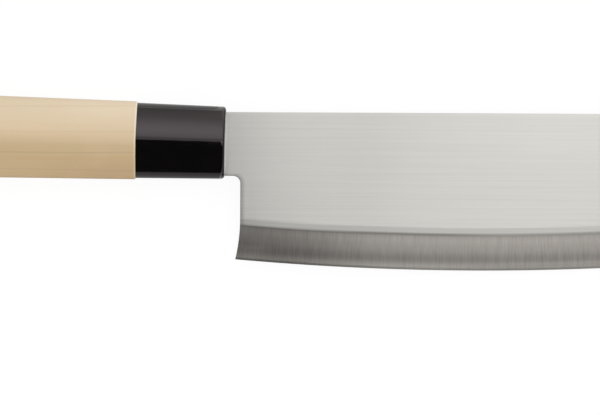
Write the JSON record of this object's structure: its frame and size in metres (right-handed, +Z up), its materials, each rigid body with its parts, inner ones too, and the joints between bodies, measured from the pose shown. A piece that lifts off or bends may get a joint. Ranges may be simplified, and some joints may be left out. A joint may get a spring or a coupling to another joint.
{
  "type": "nakiri knife",
  "caption": "Japanese vegetable knife with a tall straight-edged blade ground on both faces, a black plastic ferrule and a D-shaped wooden handle.",
  "frame": {"origin": "centre of the knife's box on the surface that it lies on, on its left side", "axes": "+X along the knife towards the blade's front end, +Y towards the spine, +Z up, on the blade's right face"},
  "size_m": [0.2934, 0.0554, 0.0246],
  "materials": {
    "blade_steel": "brushed lengthwise on the flat, ground across the bevel",
    "ferrule_plastic": "glossy moulded",
    "handle_wood": "plain sanded, straight grain",
    "resin": "cured, hidden"
  },
  "bodies": {
    "root": {"blade": "blade_steel", "ferrule": "ferrule_plastic", "handle": "handle_wood", "tang_adhesive": "resin"}
  },
  "joints": []
}
